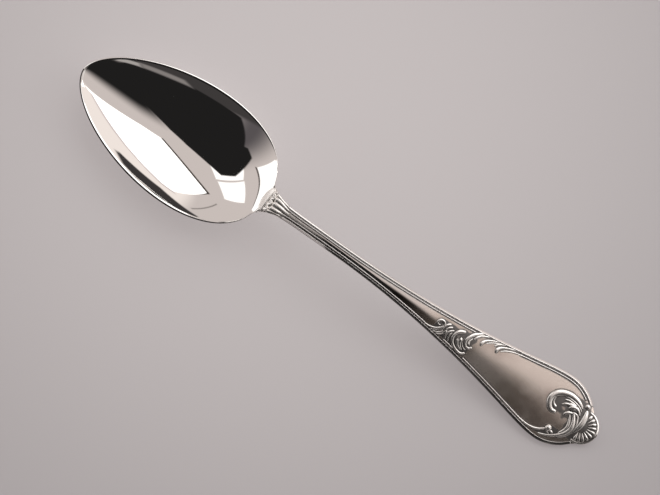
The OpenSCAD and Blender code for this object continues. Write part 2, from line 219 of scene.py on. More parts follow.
class Wiring:
    """Adds nodes to a tree; an input is linked if it is given a socket and set otherwise."""

    def __init__(self, tree):
        self.tree = tree

    def add(self, kind, inputs=None, **settings):
        node = self.tree.nodes.new(kind)
        for key, value in settings.items():
            setattr(node, key, value)
        for key, value in (inputs or {}).items():
            self.feed(node.inputs[key], value)
        return node

    def feed(self, socket, value):
        if isinstance(value, bpy.types.NodeSocket):
            self.tree.links.new(value, socket)
        else:
            socket.default_value = value

    def math(self, operation, *values, clamp=False):
        node = self.tree.nodes.new("ShaderNodeMath")
        node.operation, node.use_clamp = operation, clamp
        for socket, value in zip(node.inputs, values):
            self.feed(socket, value)
        return node.outputs[0]

    def attribute(self, name):
        return self.add("GeometryNodeInputNamedAttribute", {"Name": name}, data_type="FLOAT").outputs[0]

    def mark(self, name):
        """A number that is stored on the mesh, for a material to read."""
        return self.add("ShaderNodeAttribute", attribute_name=name).outputs["Fac"]

    def place(self):
        return self.add("ShaderNodeTexCoord").outputs["Object"]

    def noise(self, place, scale, detail):
        node = self.add("ShaderNodeTexNoise", {"Vector": place, "Scale": scale, "Detail": detail})
        return node.outputs["Fac"]

    def swing(self, noise):
        """A noise that goes as far below zero as above it."""
        return self.math("SUBTRACT", noise, 0.5)

    def blend(self, share, a, b):
        """A colour between two."""
        return self.add("ShaderNodeMix", {0: share, 6: a, 7: b}, data_type="RGBA").outputs[2]


def shape_tree(name, inputs):
    """A geometry node tree with named inputs; gives the wiring, the inputs' sockets and the output node."""
    tree = bpy.data.node_groups.new(name, "GeometryNodeTree")
    for title, kind in inputs:
        tree.interface.new_socket(title, in_out="INPUT", socket_type="NodeSocket" + kind)
    tree.interface.new_socket("Geometry", in_out="OUTPUT", socket_type="NodeSocketGeometry")
    wiring = Wiring(tree)
    given = wiring.add("NodeGroupInput").outputs
    return wiring, given, wiring.add("NodeGroupOutput")


def close_tree(wiring, out, geometry, finish):
    """Ends a tree: smooth faces, real geometry and one material."""
    smooth = wiring.add("GeometryNodeSetShadeSmooth", {"Geometry": geometry})
    real = wiring.add("GeometryNodeRealizeInstances", {"Geometry": smooth.outputs[0]})
    painted = wiring.add("GeometryNodeSetMaterial", {"Geometry": real.outputs[0], "Material": finish})
    wiring.feed(out.inputs[0], painted.outputs[0])


def bowl_tree():
    """Skin over stations along the bowl; the section gives the place across and the side of the wall."""
    wiring, given, out = shape_tree("raised_bowl", [
        ("Stations", "Geometry"), ("Section", "Object"), ("Rim lip", "Float"), ("Floor wall", "Float"),
        ("Swell", "Float"), ("Rim bulge", "Float"), ("Finish", "Material"),
    ])
    m, read = wiring.math, wiring.attribute
    path = wiring.add("GeometryNodeMeshToCurve", {"Mesh": given["Stations"]}).outputs[0]
    ring = wiring.add("GeometryNodeObjectInfo", {"Object": given["Section"]}).outputs["Geometry"]
    ring = wiring.add("GeometryNodeMeshToCurve", {"Mesh": ring}).outputs[0]
    skin = wiring.add(
        "GeometryNodeCurveToMesh", {"Curve": path, "Profile Curve": ring, "Fill Caps": True}
    ).outputs[0]
    side = read("back_side")
    across = read("across")

    def between(name):
        inner, outer = read(name + "_inner"), read(name + "_outer")
        return m("MULTIPLY_ADD", m("SUBTRACT", outer, inner), side, inner)

    square = m("MULTIPLY", across, across)
    fall = m("MULTIPLY", m("SUBTRACT", 1.0, square), m("MULTIPLY_ADD", square, given["Swell"], 1.0))
    wall = m("MULTIPLY", side, m("SUBTRACT", given["Floor wall"], given["Rim lip"]))
    deep = m("MULTIPLY", m("ADD", between("hollow"), wall), fall)
    edge = read("edge")
    top = m("MULTIPLY_ADD", m("MULTIPLY", read("bulge"), edge), given["Rim bulge"], between("rim"))
    low = m("MULTIPLY_ADD", side, given["Rim lip"], deep)
    place = wiring.add("ShaderNodeCombineXYZ", {
        "X": between("along"), "Y": m("MULTIPLY", across, between("half")), "Z": m("SUBTRACT", top, low),
    })
    set_place = wiring.add("GeometryNodeSetPosition", {"Geometry": skin, "Position": place.outputs[0]})
    # Painted shade: the rim's outer edge, where the section's dull mark is set, is stored low in wear
    rim_shaded = wiring.add("GeometryNodeStoreNamedAttribute", {
        "Geometry": set_place.outputs[0], "Name": "wear",
        "Value": m("SUBTRACT", 1.0, m("MULTIPLY", read("dull"), edge)),
    }, data_type="FLOAT", domain="POINT")
    close_tree(wiring, out, rim_shaded.outputs[0], given["Finish"])
    return wiring.tree


def relief_tree():
    """Sweeps a section along strokes; the stroke's radius is half the width, and its ends are domed."""
    wiring, given, out = shape_tree("relief_sweep", [
        ("Strokes", "Geometry"), ("Section", "Object"), ("Step", "Float"), ("Finish", "Material"),
    ])
    m = wiring.math
    curve = wiring.add("GeometryNodeCurveSplineType", {"Curve": given["Strokes"]}, spline_type="CATMULL_ROM")
    curve = wiring.add(
        "GeometryNodeResampleCurve", {"Curve": curve.outputs[0], "Length": given["Step"]}, mode="LENGTH"
    )
    curve = wiring.add("GeometryNodeSetCurveNormal", {"Curve": curve.outputs[0]}, mode="Z_UP").outputs[0]
    # The width shrinks to a dome over the last half width of a stroke
    radius = wiring.add("GeometryNodeInputRadius").outputs[0]
    gone = wiring.add("GeometryNodeSplineParameter").outputs["Length"]
    whole = wiring.add("GeometryNodeSplineLength").outputs["Length"]
    left = m("MINIMUM", gone, m("SUBTRACT", whole, gone))
    short = m("SUBTRACT", 1.0, m("DIVIDE", left, radius, clamp=True))
    dome = m("SQRT", m("SUBTRACT", 1.0, m("MULTIPLY", short, short)))
    scale = m("MULTIPLY", radius, m("MAXIMUM", dome, LEAST_DOME))
    ring = wiring.add("GeometryNodeObjectInfo", {"Object": given["Section"]}).outputs["Geometry"]
    ring = wiring.add("GeometryNodeMeshToCurve", {"Mesh": ring}).outputs[0]
    sweep = wiring.add("GeometryNodeCurveToMesh", {
        "Curve": curve, "Profile Curve": ring, "Scale": scale, "Fill Caps": True,
    })
    close_tree(wiring, out, sweep.outputs[0], given["Finish"])
    return wiring.tree


def outward(mesh):
    """Turns a closed mesh's faces outwards."""
    mesh.calc_loop_triangles()
    points = np.zeros(len(mesh.vertices) * 3)
    mesh.vertices.foreach_get("co", points)
    corners = np.zeros(len(mesh.loop_triangles) * 3, int)
    mesh.loop_triangles.foreach_get("vertices", corners)
    a, b, c = points.reshape(-1, 3)[corners].reshape(-1, 3, 3).transpose(1, 0, 2)
    if np.einsum("ij,ij->i", a, np.cross(b, c)).sum() < 0:
        mesh.flip_normals()
    return mesh


def grown(name, tree, source, values):
    """A plain mesh object from a node tree run on the source object's data."""
    carrier = bpy.data.objects.new(name + "_source", source)
    bpy.context.scene.collection.objects.link(carrier)
    modifier = carrier.modifiers.new("shape", "NODES")
    modifier.node_group = tree
    ids = {i.name: i.identifier for i in tree.interface.items_tree if i.in_out == "INPUT"}
    for title, value in values.items():
        modifier[ids[title]] = value
    carrier.update_tag()
    graph = bpy.context.evaluated_depsgraph_get()
    mesh = bpy.data.meshes.new_from_object(carrier.evaluated_get(graph))
    carrier.modifiers.remove(modifier)
    bpy.data.objects.remove(carrier)
    return placed(name, outward(mesh))


def placed(name, mesh):
    mesh.name = name
    piece = bpy.data.objects.new("silver_" + name, mesh)
    bpy.context.scene.collection.objects.link(piece)
    return piece


def keep(piece, slot, *nodes):
    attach(piece, "root")
    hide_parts(*nodes)
    return piece


def point_mesh(name, points, edges, **attributes):
    """Loose points with edges and number attributes, for a node tree to read."""
    mesh = bpy.data.meshes.new(name)
    mesh.from_pydata(points, edges, [])
    for title, values in attributes.items():
        layer = mesh.attributes.new(title, "FLOAT", "POINT")
        layer.data.foreach_set("value", np.asarray(values, np.float32))
    return mesh


# Finishes

CLOUD_SHARE, TARNISH_ROUGH, RUB_ROUGH = 0.2, 0.25, 0.3
# Hairlines in two sets, each with its turn and its stretch along the lines
HAIR_SETS, HAIR_DEPTH, SMEAR_SIZE = ((0.35, 0.025), (-0.6, 0.04)), 0.00002, 160.0
FILM_CLOUD, FILM_PATCH, FILM_UNEVEN, FILM_LEAST = 230.0, 120.0, 1.5, 0.12
BARE, BARE_SHINE = (0.93, 0.885, 0.85), 0.07


def effect(name, inputs, outputs):
    """A shader node group with named inputs and outputs."""
    tree = bpy.data.node_groups.new(name, "ShaderNodeTree")
    for title, kind, value in inputs:
        socket = tree.interface.new_socket(title, in_out="INPUT", socket_type="NodeSocket" + kind)
        socket.default_value = value
    for title, kind in outputs:
        tree.interface.new_socket(title, in_out="OUTPUT", socket_type="NodeSocket" + kind)
    wiring = Wiring(tree)
    return wiring, wiring.add("NodeGroupInput").outputs, wiring.add("NodeGroupOutput").inputs


def tarnish_and_shade_effect():
    """Dark oxide and painted shade in the recesses, broken up by a fine cloud, from the mesh's wear
    attribute.
    """
    w, given, out = effect(
        "tarnish_and_shade_in_recesses",
        [("Clean", "Color", (0.8, 0.8, 0.8, 1)), ("Tarnish_and_shade", "Color", (0.1, 0.1, 0.1, 1)),
         ("Low", "Float", 0.1), ("High", "Float", 0.8), ("Cloud size", "Float", 900.0)],
        [("Color", "Color"), ("Mask", "Float")],
    )
    cloud = w.noise(w.place(), given["Cloud size"], 3.0)
    level = w.math("MULTIPLY_ADD", w.swing(cloud), CLOUD_SHARE, w.mark("wear"))
    mask = w.add("ShaderNodeMapRange", {
        "Value": level, "From Min": given["Low"], "From Max": given["High"], "To Min": 1.0, "To Max": 0.0,
    }, interpolation_type="SMOOTHSTEP").outputs[0]
    colour = w.blend(mask, given["Clean"], given["Tarnish_and_shade"])
    w.feed(out["Color"], colour)
    w.feed(out["Mask"], mask)
    return w.tree


def hairline_effect():
    """Fine polishing lines: two crossed sets of long thin streaks."""
    w, given, out = effect(
        "polishing_hairlines",
        [("Fineness", "Float", 6000.0), ("Base roughness", "Float", 0.1), ("Spread", "Float", 0.1)],
        [("Height", "Float"), ("Roughness", "Float")],
    )
    place = w.place()
    heights = []
    for turn, stretch in HAIR_SETS:
        lie = w.add("ShaderNodeMapping", {
            "Vector": place, "Rotation": (0, 0, turn), "Scale": (stretch, 1, 1),
        }).outputs[0]
        heights.append(w.noise(lie, given["Fineness"], 2.0))
    both = w.math("MULTIPLY", w.math("ADD", *heights), 0.5)
    smear = w.noise(place, SMEAR_SIZE, 4.0)
    uneven = w.math("ADD", w.swing(both), w.swing(smear))
    rough = w.math("MULTIPLY_ADD", uneven, given["Spread"], given["Base roughness"], clamp=True)
    w.feed(out["Height"], both)
    w.feed(out["Roughness"], rough)
    return w.tree


def film_and_shade_over(w, patina_and_shade, browns):
    """Old oxide in a thin uneven layer between two browns, with painted shade, where the haze_and_shade
    attribute has it.
    """
    place = w.place()
    cloud = w.noise(place, FILM_CLOUD, 4.0)
    brown = w.blend(w.noise(place, FILM_PATCH, 2.0), *((*shade, 1) for shade in browns))
    uneven = w.math("MULTIPLY_ADD", w.swing(cloud), FILM_UNEVEN, 1.0)
    least = w.math("MULTIPLY", cloud, FILM_LEAST)
    share = w.math("MULTIPLY_ADD", w.mark("haze_and_shade"), uneven, least, clamp=True)
    share = w.math("MULTIPLY", share, w.math("SUBTRACT", 1.0, patina_and_shade.outputs["Mask"]))
    return w.blend(share, patina_and_shade.outputs["Color"], brown)


def silver(name, clean, tarnish_and_shade, rough, spread, bump, metal=1.0, film_and_shade=None):
    """Silver with polishing hairlines; oxide and painted shade darken what the wear attribute says is deep.
    """
    material = bpy.data.materials.new(name)
    material.use_nodes = True
    w = Wiring(material.node_tree)
    shader = material.node_tree.nodes["Principled BSDF"]
    shader.inputs["Metallic"].default_value = metal
    lines = w.add("ShaderNodeGroup", node_tree=HAIRLINES)
    lines.inputs["Base roughness"].default_value = rough
    lines.inputs["Spread"].default_value = spread
    patina_and_shade = w.add("ShaderNodeGroup", node_tree=TARNISH_AND_SHADE)
    for title, value in (("Clean", clean), ("Tarnish_and_shade", tarnish_and_shade)):
        patina_and_shade.inputs[title].default_value = (*value, 1)
    colour = patina_and_shade.outputs["Color"]
    dull = w.math("MULTIPLY_ADD", patina_and_shade.outputs["Mask"], TARNISH_ROUGH, lines.outputs["Roughness"])
    dull = w.math("MULTIPLY_ADD", w.mark("rubbed"), RUB_ROUGH, dull, clamp=True)
    if film_and_shade:
        colour = film_and_shade_over(w, patina_and_shade, film_and_shade)
        # The stem is handled more than the blade, and is bare metal
        bare = w.mark("bare")
        dull = w.math("MULTIPLY_ADD", bare, -BARE_SHINE, dull, clamp=True)
        w.feed(shader.inputs["Metallic"], w.math("MULTIPLY_ADD", bare, 1 - metal, metal, clamp=True))
        w.feed(patina_and_shade.inputs["Clean"], w.blend(bare, (*clean, 1), (*BARE, 1)))
    w.feed(shader.inputs["Base Color"], colour)
    w.feed(shader.inputs["Roughness"], dull)
    dent = w.add("ShaderNodeBump", {
        "Strength": bump, "Distance": HAIR_DEPTH, "Height": lines.outputs["Height"],
    })
    w.feed(shader.inputs["Normal"], dent.outputs[0])
    return material


TARNISH_AND_SHADE, HAIRLINES = tarnish_and_shade_effect(), hairline_effect()
# The bowl's dark colour shows only as painted shade along its rim's outer edge; the other dark colours are
# oxide and painted shade in the recesses
POLISHED = silver(
    "polished_silver", (0.93, 0.91, 0.885), (0.035, 0.03, 0.03), rough=0.03, spread=0.02, bump=0.03,
)
SATIN = silver(
    "satin_silver", (0.97, 0.865, 0.785), (0.17, 0.16, 0.155), rough=0.16, spread=0.08, bump=0.1,
    metal=0.75, film_and_shade=((0.46, 0.355, 0.315), (0.42, 0.365, 0.295)),
)
BRIGHT = silver(
    "relief_silver", (0.91, 0.875, 0.84), (0.17, 0.155, 0.145), rough=0.26, spread=0.08, bump=0.1, metal=0.9,
)
DRAWN = silver(
    "drawn_silver", (0.74, 0.705, 0.685), (0.09, 0.08, 0.075), rough=0.13, spread=0.06, bump=0.1, metal=0.95,
)


# Bowl: stations along it, crowded at both ends, and one closed section

OVAL_N, NECK_N, SPAN_N, TIP_START = 170, 40, 65, 1e-4
# The near rim stands up and turns over, with painted shade along its outer edge; the far one is bevelled
# outwards
RIM_OVER = np.array([0.1, 0.25, 0.4, 0.46, 0.52, 0.6, 0.72, 0.84, 0.92, 0.97, 0.995])
NEAR_RISE = np.array([0.05, 0.125, 0.2, 0.225, 0.225, 0.18, 0.07, -0.06, -0.17, -0.29, -0.42])
FAR_BEVEL = np.array([0.03, 0.07, 0.11, 0.125, 0.14, 0.14, 0.09, 0.03, -0.03, -0.1, -0.25])
NEAR_RIM_SHADE, FAR_RIM_SHADE_SHARE = np.array([0, 0, 0.1, 0.4, 0.8, 1, 1, 1, 1, 1, 1]), 0.2
RIM_FADE = (-5, -1)


def make_bowl():
    end = BOWL_L + NECK_L + GAP
    turns = np.linspace(0, math.pi, OVAL_N)
    outer = np.concatenate([OVAL_L * (1 - np.cos(turns)) / 2, np.linspace(OVAL_L, end, NECK_N)[1:]])
    outer[0] = TIP_START
    inner = RIM_WALL + outer * (end - RIM_WALL) / end
    rows = {}
    for side, s in (("_inner", inner), ("_outer", outer)):
        rows["along" + side] = (HEEL_X + s - BOWL_L) * MM
        rows["half" + side] = (inner_half(s) if side == "_inner" else rim_half(s)) * MM
        rows["rim" + side] = rim_z(s) * MM
        rows["hollow" + side] = hollow(s) * MM
    rows["edge"] = 1 - ramp(outer - BOWL_L, *RIM_FADE)
    stations = point_mesh(
        "bowl_stations", [(x, 0, 0) for x in rows["along_outer"]],
        [(i, i + 1) for i in range(len(outer) - 1)], **rows,
    )
    span = np.cos(np.linspace(0, math.pi, SPAN_N))
    rim = np.ones(len(RIM_OVER))
    across = np.concatenate([span, -rim, -span, rim])
    back = np.concatenate([0 * span, RIM_OVER, 0 * span + 1, RIM_OVER[::-1]])
    near, far = (shape / RIM_WALL + RIM_OVER * RIM_LIP for shape in (NEAR_RISE, FAR_BEVEL))
    bulge = np.concatenate([0 * span, near, 0 * span, far[::-1]])
    # Painted shade along the rim's outer edge: full on the near side, a share of it on the far side
    dull = np.concatenate([0 * span, NEAR_RIM_SHADE, 0 * span, FAR_RIM_SHADE_SHARE * NEAR_RIM_SHADE[::-1]])
    n = len(across)
    ring = point_mesh(
        "bowl_section", [(math.cos(a), math.sin(a), 0) for a in np.arange(n) * 2 * math.pi / n],
        [(k, (k + 1) % n) for k in range(n)], across=across, back_side=back, bulge=bulge, dull=dull,
    )
    ring_object = bpy.data.objects.new("bowl_section", ring)
    bpy.context.scene.collection.objects.link(ring_object)
    bowl = grown("bowl", bowl_tree(), stations, {
        "Section": ring_object, "Rim lip": RIM_LIP * MM, "Floor wall": FLOOR_WALL * MM,
        "Swell": HOLLOW_SWELL, "Rim bulge": MM, "Finish": POLISHED,
    })
    bpy.data.objects.remove(ring_object)
    return bowl


# Handle: rings from the drop's tip to the handle's end

TOP_N, EDGE_N, BACK_N, EDGE_R = 72, 6, 30, 0.25
DROP_N, LAP_N, STEM_N, BLADE_N, END_N, BLADE_FROM = 24, 8, 60, 180, 90, 56
DROP_ROUND, DROP_POWER = 0.6, 4


def ring_points(h, half, top, back):
    """One closed ring: top from the far edge to the near one, rounded side, back and the other side."""
    inset = min(EDGE_R, half / 2)
    arc = np.linspace(0, math.pi, EDGE_N + 2)[1:-1]
    drop, out = (1 - np.cos(arc)) / 2, np.sin(arc)
    y_top = np.linspace(1, -1, TOP_N + 1) * (half - inset)
    y_back = np.linspace(-1, 1, BACK_N + 1) * (half - inset)
    z_top, z_back = top(y_top), back(y_back)
    y = np.concatenate([
        y_top, -(half - inset) - inset * out, y_back, (half - inset) + inset * out[::-1],
    ])
    z = np.concatenate([
        z_top, mix(z_top[-1], z_back[0], drop), z_back, mix(z_top[0], z_back[-1], drop)[::-1],
    ])
    return np.stack([np.full(len(y), HEEL_X + h), y, z], 1) * MM


def drop_half(h):
    if h < 0:
        heel_half = float(neck_half(np.array(BOWL_L)))
        return max(heel_half * math.sqrt(max(1 - (h / DROP_L) ** 2, 0)), END_HALF)
    return float(neck_half(np.array(h + BOWL_L)))


def drop_ring(h):
    half = drop_half(h)
    thick = mix(DROP_T, STEM_T - FLOOR_WALL - GAP, float(ramp(h, -DROP_L, NECK_L)))

    def top(y):
        return bowl_bottom(np.full(len(y), h + BOWL_L), y) - GAP

    return ring_points(h, half, top, lambda y: top(y) - thick * (1 - DROP_ROUND * (y / half) ** DROP_POWER))


def blade_ring(h):
    at = np.array(h)
    return ring_points(h, float(half_at(at)), lambda y: handle_top(at, y), lambda y: handle_back(at, y))


def make_handle():
    turns = np.linspace(0, math.pi / 2, END_N)[1:]
    drop = -DROP_L * np.cos(np.linspace(0, math.pi / 2, DROP_N))
    stations = [drop_ring(h) for h in np.concatenate([drop, np.linspace(0, NECK_L, LAP_N)[1:]])]
    spans = [
        np.linspace(NECK_L + GAP, BLADE_FROM, STEM_N), np.linspace(BLADE_FROM, WIDEST_AT, BLADE_N)[1:],
        WIDEST_AT + WIDEST_BACK * np.sin(turns),
    ]
    stations += [blade_ring(h) for h in np.concatenate(spans)]
    points = np.concatenate(stations)
    n = len(stations[0])
    faces = [
        (i * n + k, i * n + (k + 1) % n, (i + 1) * n + (k + 1) % n, (i + 1) * n + k)
        for i in range(len(stations) - 1) for k in range(n)
    ]
    last = (len(stations) - 1) * n
    faces += [tuple(range(n))[::-1], tuple(range(last, last + n))]
    mesh = bpy.data.meshes.new("handle")
    mesh.from_pydata(points.tolist(), [], faces)
    mesh.materials.append(SATIN)
    mesh.shade_smooth()
    return placed("handle", outward(mesh))


# Oxide and painted shade: what lies lower than the relief around it keeps its oxide and is painted in shade

MAP_STEP, MAP_SPARE = 0.1, 4
RECESS, NOOK, LINE_UP, HAZE_UP = 0.28, 0.12, 0.12, 0.2
TIGHT_REACH, LINE_REACH, HAZE_REACH, NOOK_REACH = 0.4, 0.3, 2.6, 4.5
NOOK_SHARE, LINE_SHARP, HEEL_WEAR = 0.85, 0.4, 0.8
# Strengths of the old oxide with painted shade, mostly on the near half: round the ornaments, on the blade
# and on the stem; and how much rubbing takes off
HAZE_FILM_AND_SHADE, BLADE_FILM_AND_SHADE, STEM_FILM_AND_SHADE, RUBBED_OFF = 1.3, 0.75, 0.9, 0.6
# Where each begins and where it is full, in millimetres along the handle or across it
HEEL_ALONG, BARE_ALONG, HAZE_ACROSS = (7, 5), (70, 52), (8, 2)
BLADE_FILM_ACROSS, BLADE_FILM_ALONG = (4, -4), (84, 102)
STEM_FILM_ACROSS, STEM_FILM_IN, STEM_FILM_OUT = (0.4, -0.8), (42, 54), (74, 68)
RUB_IN, RUB_OUT, RUB_ACROSS = (5, 8), (26, 16), (1.6, 0.2)


def over_seat(mesh):
    """Each point's place in the map of the handle's face and its height over the seat."""
    co = np.zeros(len(mesh.vertices) * 3)
    mesh.vertices.foreach_get("co", co)
    x, y, z = co.reshape(-1, 3).T / MM
    h = x - HEEL_X
    up = z - seat(h, np.clip(y, -half_at(h), half_at(h)))
    spot = tuple(np.rint(v / MAP_STEP).astype(int) for v in (h + DROP_L, y + BLADE_W / 2))
    return h, y, spot, up


def relief_map(pieces):
    """Height of the relief over the handle's face."""
    heights = np.zeros([int(size / MAP_STEP) + MAP_SPARE for size in (HANDLE_L + DROP_L, BLADE_W)])
    for piece in pieces:
        _, _, spot, up = over_seat(piece.data)
        np.maximum.at(heights, spot, up)
    for axis in (0, 1):
        heights = np.maximum(heights, np.maximum(np.roll(heights, 1, axis), np.roll(heights, -1, axis)))
    return heights


def spread(heights, reach):
    """A map blurred over some reach."""
    k = np.arange(-int(2 * reach / MAP_STEP), int(2 * reach / MAP_STEP) + 1) * MAP_STEP
    weight = np.exp(-(k / reach) ** 2)
    weight /= weight.sum()
    for axis in (0, 1):
        heights = np.apply_along_axis(np.convolve, axis, heights, weight, "same")
    return heights


def enclosed(heights):
    """How high the relief stands round a place, on at least three of four sides."""
    sides = []
    cells = int(NOOK_REACH / MAP_STEP)
    for axis, way in ((0, 1), (0, -1), (1, 1), (1, -1)):
        side = np.zeros_like(heights)
        for k in range(1, cells):
            side = np.maximum(side, np.roll(heights, way * k, axis) * (1 - k / cells))
        sides.append(side)
    return np.sort(sides, axis=0)[1]


def film_and_shade_at(h, y, haze_and_shade):
    """Old oxide with painted shade: round the ornaments, on the blade's near half and on the near half of
    the stem's end.
    """
    film_and_shade = np.maximum(
        HAZE_FILM_AND_SHADE * haze_and_shade * ramp(y, *HAZE_ACROSS),
        BLADE_FILM_AND_SHADE * ramp(y, *BLADE_FILM_ACROSS) * ramp(h, *BLADE_FILM_ALONG),
    )
    stem = ramp(y, *STEM_FILM_ACROSS) * ramp(h, *STEM_FILM_IN) * ramp(h, *STEM_FILM_OUT)
    return np.maximum(film_and_shade, STEM_FILM_AND_SHADE * stem)


def mark_wear_and_shade(handle, relief, threads, fronds):
    """Gives every piece its wear, its old oxide with painted shade, and where it is rubbed or bare."""
    ornaments = [piece for piece in relief if piece not in threads]
    curled = [piece for piece in ornaments if piece != fronds]
    tight = spread(relief_map(relief), TIGHT_REACH)
    lines = spread(np.minimum(relief_map(threads) / LINE_UP, 1), LINE_REACH)
    nook = spread(enclosed(relief_map(curled)), TIGHT_REACH)
    haze_and_shade = spread(np.minimum(relief_map(ornaments) / HAZE_UP, 1), HAZE_REACH)
    for piece in [handle, *relief]:
        h, y, spot, up = over_seat(piece.data)
        # Painted shade with oxide: low places beside the relief, places it closes round and the grooves
        # beside the threads
        deep = np.maximum(ease((tight[spot] - up) / RECESS), NOOK_SHARE * ease((nook[spot] - up) / NOOK))
        between = ease((lines[spot] - np.clip(up / LINE_UP, 0, 1)) / LINE_SHARP)
        wear = np.maximum(np.minimum(1 - deep, 1 - between), HEEL_WEAR * ramp(h, *HEEL_ALONG))
        # Fingers rub the near side of the stem's first part to a fine satin
        rubbed = ramp(h, *RUB_IN) * ramp(h, *RUB_OUT) * ramp(y, *RUB_ACROSS)
        film_and_shade = np.clip(film_and_shade_at(h, y, haze_and_shade[spot]) * (1 - RUBBED_OFF * rubbed), 0, 1)
        marks = {"wear": wear, "haze_and_shade": film_and_shade, "rubbed": rubbed, "bare": ramp(h, *BARE_ALONG)}
        for title, values in marks.items():
            layer = piece.data.attributes.new(title, "FLOAT", "POINT")
            layer.data.foreach_set("value", values.astype(np.float32))


# Relief: sections across a stroke, as half widths across and up

ROUND_SINK, ROUND_FOOT, EDGE_FOOT, ROUND_N = 0.04, 0.45, 0.6, 17
NEAR_ROLL, NEAR_ROLL_ALONG = 35, (30, 18)
FAR_ROLL, FAR_ROLL_IN, FAR_ROLL_OUT = -2, (16, 24), (62, 54)


def section_object(name, across, up):
    n = len(across)
    points = [(-x, -z, 0) for x, z in zip(across, up)]
    mesh = point_mesh(name, points, [(k, (k + 1) % n) for k in range(n)])
    piece = bpy.data.objects.new(name, mesh)
    bpy.context.scene.collection.objects.link(piece)
    return piece


def round_section(name, share):
    """A half round of some height per width, on a sunk foot."""
    turn = np.linspace(0, math.pi, ROUND_N)
    up = 2 * share * np.sin(turn) - ROUND_SINK
    return section_object(name, [*np.cos(turn), -1, 1], [*up, -ROUND_FOOT, -ROUND_FOOT])


def moulding_section(name, inner_side, top):
    """The border's moulding: a long slope from the edge, a round crest at top and a steeper inner face."""
    across = np.array([
        -1, -0.97, -0.85, top - 0.3, top - 0.12, top, top + 0.12, mix(top + 0.12, 1, 0.5), 0.95, 1,
    ])[::-1] * inner_side
    up = np.array([-0.05, 0.1, 0.19, 0.77, 0.86, 0.89, 0.86, 0.62, 0.2, -0.05])[::-1]
    return section_object(name, [*across, -inner_side, inner_side], [*up, -EDGE_FOOT, -EDGE_FOOT])


def outer_roll(h, side):
    """The outer threads lean outwards: the near one by the heel, the far one a little along the stem."""
    if side < 0:
        return NEAR_ROLL * ramp(h, *NEAR_ROLL_ALONG)
    return FAR_ROLL * ramp(h, *FAR_ROLL_IN) * ramp(h, *FAR_ROLL_OUT)


def thread_strokes(side, inner, runs):
    """Strokes of one thread, from runs of where it starts, where it ends and how many points it has."""
    strokes = []
    for start, end, n in runs:
        h = np.linspace(start, end, n)
        width = (INNER_W if inner else OUTER_W) * taper(h)
        off = (OUTER_W + GROOVE_W + INNER_W / 2 if inner else OUTER_W / 2) * taper(h)
        roll = 0 * h if inner else outer_roll(h, side)
        strokes.append(np.stack([*edge_point(h, side, off), width, 0 * h, roll], 1))
    return strokes


RELIEF = relief_tree()
ROUND_SHARE, LOW_SHARE, STROKE_STEP, BED_RISE = 0.42, 0.3, 0.08, 0.17
ROUND = round_section("half_round", ROUND_SHARE)
LOW_ROUND = round_section("low_round", LOW_SHARE)
TONGUE = moulding_section("heel_tongue_section", -1, 0.55)
NEAR_EDGE = moulding_section("near_moulding", 1, 0.62)
FAR_EDGE = moulding_section("far_moulding", -1, 0.3)


def swept_piece(name, strokes, section, fuller=1.0, finish=None):
    """One relief piece from strokes of [from the heel, across, width, depth sunk, roll in degrees]."""
    curve = bpy.data.curves.new(name, "CURVE")
    curve.dimensions = "3D"
    for stroke in strokes:
        spline = curve.splines.new("POLY")
        spline.points.add(len(stroke) - 1)
        for point, (h, y, width, *rest) in zip(spline.points, stroke):
            sunk, roll = (*rest, 0, 0)[:2]
            z = float(seat(np.array(h), np.array(y))) - sunk
            point.co = ((HEEL_X + h) * MM, y * MM, z * MM, 1)
            point.radius, point.tilt = fuller * width / 2 * MM, math.radians(roll)
    return grown(name, RELIEF, curve, {
        "Section": section, "Step": STROKE_STEP * MM, "Finish": finish or BRIGHT,
    })


def bed(points):
    """A broad low stroke under others, so that they stand on common raised ground."""
    return [[h, y, w, ROUND_SHARE * w - BED_RISE] for h, y, w in points]


def mirrored(strokes):
    return strokes + [[[h, -y, *rest] for h, y, *rest in s] for s in strokes]


HEEL_TONGUE = [
    [[-0.2, -4.6, 0.9, 0.1], [-0.5, -3.8, 1.6, 0.2], [-0.8, -2.1, 2.3, 0.35], [-0.9, 0, 2.5, 0.4],
     [-0.8, 2.1, 2.3, 0.35], [-0.5, 3.8, 1.6, 0.2], [-0.2, 4.6, 0.9, 0.1]],
    [[0.6, -4.2, 0.9, 0.1], [0.1, -3.4, 1.4, 0.1], [0.7, -2.5, 1.9, 0.2], [0.1, -1.5, 1.6, 0.2],
     [0.8, -0.4, 2, 0.2], [0.2, 0.7, 1.6, 0.2], [0.8, 1.7, 2, 0.2], [0.1, 2.8, 1.6, 0.15],
     [0.5, 3.6, 1.3, 0.1], [0.6, 4.2, 0.8, 0.1]],
]
HEEL_LOBES = [
    [[1.4, 0, 1.65, 0.22], [2.5, 0.05, 2.1, 0.07], [4.4, 0, 1.9, -0.15], [5.8, 0, 1.5, -0.15],
     [8.2, 0, 0.8, 0.05]],
] + mirrored([
    [[1.3, 1.75, 1.6, 0.2], [2.4, 1.7, 1.9, 0.05], [4.2, 1.5, 1.6, -0.15], [5.4, 1.3, 1.2, -0.15],
     [7.6, 0.95, 0.6]],
    [[1.2, 3.2, 1.1, 0.15], [2.5, 2.8, 1.25, 0], [4.5, 2.3, 1, -0.05], [7.4, 1.85, 0.6]],
])
